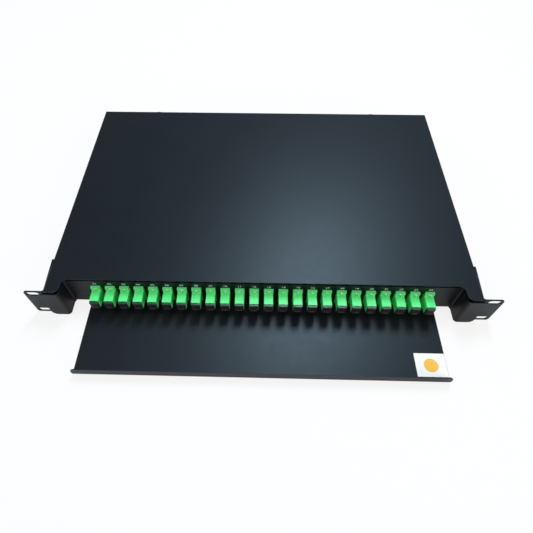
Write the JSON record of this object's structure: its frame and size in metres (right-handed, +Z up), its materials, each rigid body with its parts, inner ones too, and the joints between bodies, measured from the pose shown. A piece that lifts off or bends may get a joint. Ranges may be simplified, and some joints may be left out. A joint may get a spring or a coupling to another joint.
{
  "type": "fiber distribution box",
  "caption": "Rack-mount fibre distribution box, one unit high, with a recessed row of green SC adapters, dust caps, slotted ears and a slim pull-out cable tray.",
  "frame": {"origin": "middle of the footprint on the underside of the floor sheet, with the tray pulled out", "axes": "+Z up, -Y towards the front with the adapters, +X to the right seen from the front"},
  "size_m": [0.4826, 0.3802, 0.0444],
  "materials": {
    "powder_coat": "satin black powder coat",
    "zinc_steel": "bright zinc",
    "green_plastic": "moulded, slightly glossy",
    "black_plastic": "moulded, matt",
    "white_plastic": "moulded, matt",
    "smoked_plastic": "moulded, glossy"
  },
  "bodies": {
    "root": {"chassis": "powder_coat", "front_panel": "powder_coat", "left_rack_ear": "powder_coat", "right_rack_ear": "powder_coat", "left_tray_rail": "zinc_steel", "right_tray_rail": "zinc_steel", "splice_tray": "white_plastic", "left_cable_gland": "black_plastic", "right_cable_gland": "black_plastic", "adapter_01": "green_plastic", "adapter_02": "green_plastic", "adapter_03": "green_plastic", "adapter_04": "green_plastic", "adapter_05": "green_plastic", "adapter_06": "green_plastic", "adapter_07": "green_plastic", "adapter_08": "green_plastic", "adapter_09": "green_plastic", "adapter_10": "green_plastic", "adapter_11": "green_plastic", "adapter_12": "green_plastic", "adapter_13": "green_plastic", "adapter_14": "green_plastic", "adapter_15": "green_plastic", "adapter_16": "green_plastic", "adapter_17": "green_plastic", "adapter_18": "green_plastic", "adapter_19": "green_plastic", "adapter_20": "green_plastic", "adapter_21": "green_plastic", "adapter_22": "green_plastic", "adapter_23": "green_plastic", "adapter_24": "green_plastic"},
    "tray": {"pull_out_tray": "powder_coat"},
    "cover": {"top_cover": "powder_coat"},
    "splice_lid": {"splice_tray_lid": "smoked_plastic"},
    "cap_01": {"dust_cap_01": "black_plastic"},
    "cap_02": {"dust_cap_02": "black_plastic"},
    "cap_03": {"dust_cap_03": "black_plastic"},
    "cap_04": {"dust_cap_04": "black_plastic"},
    "cap_05": {"dust_cap_05": "black_plastic"},
    "cap_06": {"dust_cap_06": "black_plastic"},
    "cap_07": {"dust_cap_07": "black_plastic"},
    "cap_08": {"dust_cap_08": "black_plastic"},
    "cap_09": {"dust_cap_09": "black_plastic"},
    "cap_10": {"dust_cap_10": "black_plastic"},
    "cap_11": {"dust_cap_11": "black_plastic"},
    "cap_12": {"dust_cap_12": "black_plastic"},
    "cap_13": {"dust_cap_13": "black_plastic"},
    "cap_14": {"dust_cap_14": "black_plastic"},
    "cap_15": {"dust_cap_15": "black_plastic"},
    "cap_16": {"dust_cap_16": "black_plastic"},
    "cap_17": {"dust_cap_17": "black_plastic"},
    "cap_18": {"dust_cap_18": "black_plastic"},
    "cap_19": {"dust_cap_19": "black_plastic"},
    "cap_20": {"dust_cap_20": "black_plastic"},
    "cap_21": {"dust_cap_21": "black_plastic"},
    "cap_22": {"dust_cap_22": "black_plastic"},
    "cap_23": {"dust_cap_23": "black_plastic"},
    "cap_24": {"dust_cap_24": "black_plastic"}
  },
  "joints": [
    {"name": "tray_slide", "type": "slide", "parent": "root", "child": "tray", "axis": [0, 1, 0], "range_m": [0, 0.0671]},
    {"name": "cover_lift", "type": "slide", "parent": "root", "child": "cover", "axis": [0, 0, 1], "range_m": [0, 0.12]},
    {"name": "splice_lid_hinge", "type": "hinge", "parent": "root", "child": "splice_lid", "pos_m": [0, 0.1558, 0.014], "axis": [-1, 0, 0], "range_deg": [0, 90]},
    {"name": "cap_01_pull", "type": "slide", "parent": "root", "child": "cap_01", "axis": [0, -1, 0], "range_m": [0, 0.015]},
    {"name": "cap_02_pull", "type": "slide", "parent": "root", "child": "cap_02", "axis": [0, -1, 0], "range_m": [0, 0.015]},
    {"name": "cap_03_pull", "type": "slide", "parent": "root", "child": "cap_03", "axis": [0, -1, 0], "range_m": [0, 0.015]},
    {"name": "cap_04_pull", "type": "slide", "parent": "root", "child": "cap_04", "axis": [0, -1, 0], "range_m": [0, 0.015]},
    {"name": "cap_05_pull", "type": "slide", "parent": "root", "child": "cap_05", "axis": [0, -1, 0], "range_m": [0, 0.015]},
    {"name": "cap_06_pull", "type": "slide", "parent": "root", "child": "cap_06", "axis": [0, -1, 0], "range_m": [0, 0.015]},
    {"name": "cap_07_pull", "type": "slide", "parent": "root", "child": "cap_07", "axis": [0, -1, 0], "range_m": [0, 0.015]},
    {"name": "cap_08_pull", "type": "slide", "parent": "root", "child": "cap_08", "axis": [0, -1, 0], "range_m": [0, 0.015]},
    {"name": "cap_09_pull", "type": "slide", "parent": "root", "child": "cap_09", "axis": [0, -1, 0], "range_m": [0, 0.015]},
    {"name": "cap_10_pull", "type": "slide", "parent": "root", "child": "cap_10", "axis": [0, -1, 0], "range_m": [0, 0.015]},
    {"name": "cap_11_pull", "type": "slide", "parent": "root", "child": "cap_11", "axis": [0, -1, 0], "range_m": [0, 0.015]},
    {"name": "cap_12_pull", "type": "slide", "parent": "root", "child": "cap_12", "axis": [0, -1, 0], "range_m": [0, 0.015]},
    {"name": "cap_13_pull", "type": "slide", "parent": "root", "child": "cap_13", "axis": [0, -1, 0], "range_m": [0, 0.015]},
    {"name": "cap_14_pull", "type": "slide", "parent": "root", "child": "cap_14", "axis": [0, -1, 0], "range_m": [0, 0.015]},
    {"name": "cap_15_pull", "type": "slide", "parent": "root", "child": "cap_15", "axis": [0, -1, 0], "range_m": [0, 0.015]},
    {"name": "cap_16_pull", "type": "slide", "parent": "root", "child": "cap_16", "axis": [0, -1, 0], "range_m": [0, 0.015]},
    {"name": "cap_17_pull", "type": "slide", "parent": "root", "child": "cap_17", "axis": [0, -1, 0], "range_m": [0, 0.015]},
    {"name": "cap_18_pull", "type": "slide", "parent": "root", "child": "cap_18", "axis": [0, -1, 0], "range_m": [0, 0.015]},
    {"name": "cap_19_pull", "type": "slide", "parent": "root", "child": "cap_19", "axis": [0, -1, 0], "range_m": [0, 0.015]},
    {"name": "cap_20_pull", "type": "slide", "parent": "root", "child": "cap_20", "axis": [0, -1, 0], "range_m": [0, 0.015]},
    {"name": "cap_21_pull", "type": "slide", "parent": "root", "child": "cap_21", "axis": [0, -1, 0], "range_m": [0, 0.015]},
    {"name": "cap_22_pull", "type": "slide", "parent": "root", "child": "cap_22", "axis": [0, -1, 0], "range_m": [0, 0.015]},
    {"name": "cap_23_pull", "type": "slide", "parent": "root", "child": "cap_23", "axis": [0, -1, 0], "range_m": [0, 0.015]},
    {"name": "cap_24_pull", "type": "slide", "parent": "root", "child": "cap_24", "axis": [0, -1, 0], "range_m": [0, 0.015]}
  ],
  "couplings": [
    {"joint": "splice_lid_hinge", "follows": "cover_lift", "rad_per_m": 13}
  ]
}
